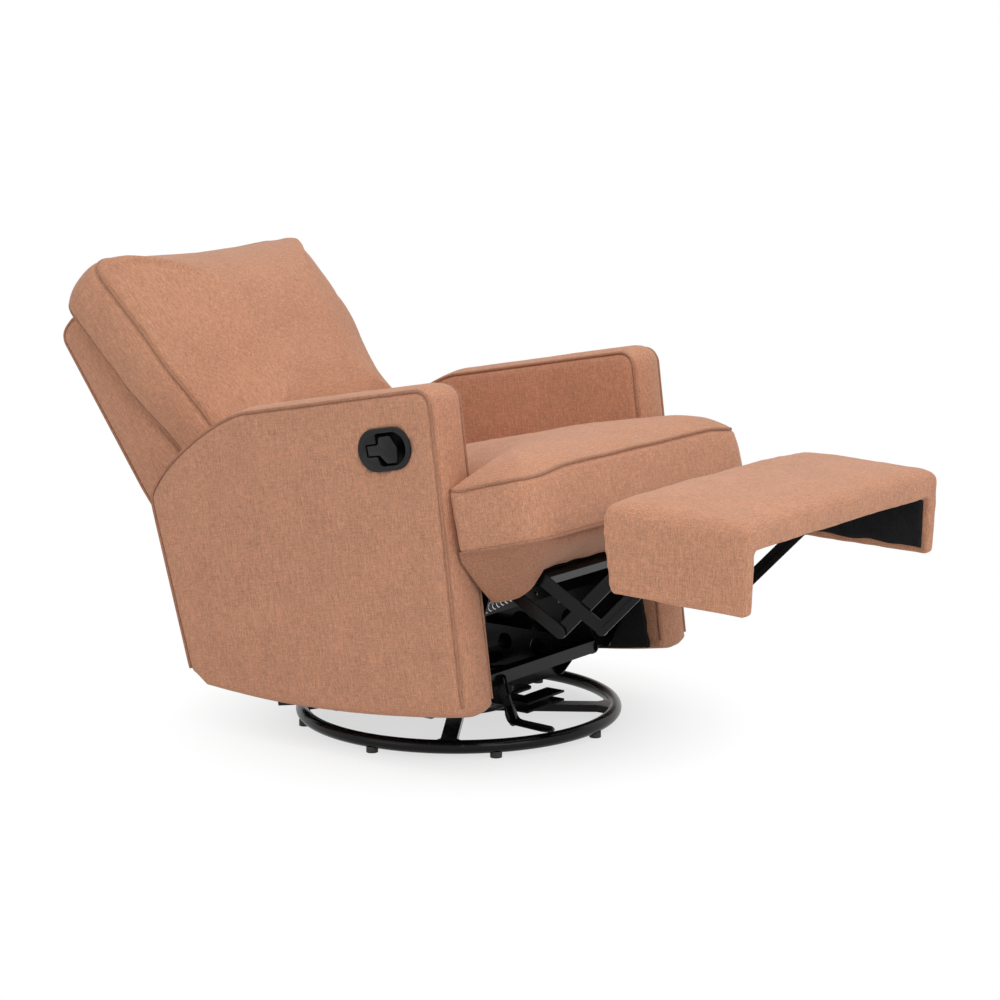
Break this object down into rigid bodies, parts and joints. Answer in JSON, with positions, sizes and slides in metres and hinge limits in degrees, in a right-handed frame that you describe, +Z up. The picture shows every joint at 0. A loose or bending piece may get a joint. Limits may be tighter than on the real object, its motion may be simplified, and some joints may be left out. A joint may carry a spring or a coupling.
{
  "type": "swivel glider recliner",
  "caption": "Upholstered swivel glider recliner on a round floor ring, with side pull handle, reclining back and a fold-out winged footrest",
  "frame": {"origin": "on the floor, under the swivel axis", "axes": "+Z up; the sitter faces -Y; the sitter's right arm, with the handle, is at -X"},
  "size_m": [0.7358, 1.6029, 0.8426],
  "materials": {
    "black_frame": "satin black powder coat on tube and plate, worn brighter on its edges",
    "black_links": "semi-gloss black paint on pressed steel links and plates",
    "bearing_steel": "zinc-plated steel, slightly dull",
    "ball_steel": "polished bearing steel",
    "spring_steel": "bright zinc-plated spring wire",
    "floor_rubber": "moulded black rubber",
    "seat_wood": "raw sawn hardwood and plywood",
    "seat_webbing": "elastic webbing with a woven stripe",
    "woven_fabric": "plain woven linen-like upholstery with slubs, matt, terracotta",
    "cushion_fabric": "the same woven fabric over foam, with welted seams",
    "footrest_fabric": "the same woven fabric over a padded board",
    "handle_plastic": "moulded dark plastic with a light sheen",
    "black_lining": "thin black dust cloth"
  },
  "bodies": {
    "base": {"floor_ring": "black_frame", "floor_pads": "floor_rubber", "swivel_lower_race": "bearing_steel", "swivel_balls": "ball_steel", "swivel_bolt": "bearing_steel"},
    "swivel": {"swivel_upper_race": "bearing_steel", "swivel_plate": "black_frame", "glide_stands": "black_frame", "stand_rails": "black_frame"},
    "lock_pedal": {"lock_lever": "black_frame"},
    "front_glide": {"front_glide_links": "black_links"},
    "rear_glide": {"rear_glide_links": "black_links"},
    "seat": {"glide_rails": "black_links", "carriage_rails": "black_frame", "mechanism_plates": "black_links", "seat_side_rails": "seat_wood", "seat_cross_boards": "seat_wood", "seat_webbing": "seat_webbing", "front_apron": "woven_fabric", "arm_right": "woven_fabric", "arm_left": "woven_fabric", "handle_bezel": "handle_plastic", "seat_cushion": "cushion_fabric", "footrest_springs": "spring_steel"},
    "handle": {"handle_lever": "handle_plastic"},
    "back": {"back_brackets": "black_links", "back_frame": "woven_fabric", "back_cushion": "cushion_fabric"},
    "main_pair": {"main_links": "black_links", "torque_tube": "black_frame"},
    "control_pair": {"control_links": "black_links"},
    "front_pair": {"front_links": "black_links"},
    "carrier_pair": {"carrier_links": "black_links"},
    "footrest": {"footrest_brackets": "black_links", "footrest_board": "footrest_fabric", "footrest_lining": "black_lining"}
  },
  "joints": [
    {"name": "swivel_turn", "type": "hinge", "parent": "base", "child": "swivel", "pos_m": [0, 0, 0.0407], "axis": [0, 0, 1], "continuous": true},
    {"name": "lock_lever_lift", "type": "hinge", "parent": "swivel", "child": "lock_pedal", "pos_m": [-0.108, -0.188, 0.095], "axis": [-1, 0, 0], "range_deg": [0, 30]},
    {"name": "glide", "type": "hinge", "parent": "swivel", "child": "front_glide", "pos_m": [0, -0.15, 0.15], "axis": [-1, 0, 0], "range_deg": [0, 26.7]},
    {"name": "rear_glide_swing", "type": "hinge", "parent": "swivel", "child": "rear_glide", "pos_m": [0, 0.15, 0.15], "axis": [-1, 0, 0], "range_deg": [0, 18.7]},
    {"name": "seat_rock", "type": "hinge", "parent": "front_glide", "child": "seat", "pos_m": [0, -0.06895, 0.08651], "axis": [-1, 0, 0], "range_deg": [-39.2, 0]},
    {"name": "handle_pull", "type": "hinge", "parent": "seat", "child": "handle", "pos_m": [-0.361, -0.0761, 0.5713], "axis": [0, -0.185, -0.9827], "range_deg": [0, 30], "stiffness_Nm_per_rad": 0.4, "springref_deg": -17.19},
    {"name": "back_recline", "type": "hinge", "parent": "seat", "child": "back", "pos_m": [0, 0.26722, 0.30316], "axis": [1, 0, 0], "range_deg": [0, 24]},
    {"name": "footrest_fold", "type": "hinge", "parent": "seat", "child": "main_pair", "pos_m": [0, -0.29848, 0.3954], "axis": [1, 0, 0], "range_deg": [0, 77.5]},
    {"name": "control_swing", "type": "hinge", "parent": "seat", "child": "control_pair", "pos_m": [0, -0.25458, 0.35161], "axis": [1, 0, 0], "range_deg": [0, 77.6], "deforming": ["footrest_springs"]},
    {"name": "front_link_swing", "type": "hinge", "parent": "main_pair", "child": "front_pair", "pos_m": [0, -0.44873, 0.31073], "axis": [1, 0, 0], "range_deg": [-77.6, 0]},
    {"name": "carrier_swing", "type": "hinge", "parent": "main_pair", "child": "carrier_pair", "pos_m": [0, -0.49404, 0.2852], "axis": [1, 0, 0], "range_deg": [-77.6, 0]},
    {"name": "footrest_tilt", "type": "hinge", "parent": "front_pair", "child": "footrest", "pos_m": [0, -0.58581, 0.44744], "axis": [1, 0, 0], "range_deg": [0, 77.6]}
  ],
  "couplings": [
    {"joint": "rear_glide_swing", "follows": "glide", "ratio": 0.6948},
    {"joint": "seat_rock", "follows": "glide", "ratio": -1.4613},
    {"joint": "control_swing", "follows": "footrest_fold", "ratio": 1},
    {"joint": "front_link_swing", "follows": "footrest_fold", "ratio": -1},
    {"joint": "carrier_swing", "follows": "footrest_fold", "ratio": -1},
    {"joint": "footrest_tilt", "follows": "footrest_fold", "ratio": 1}
  ]
}
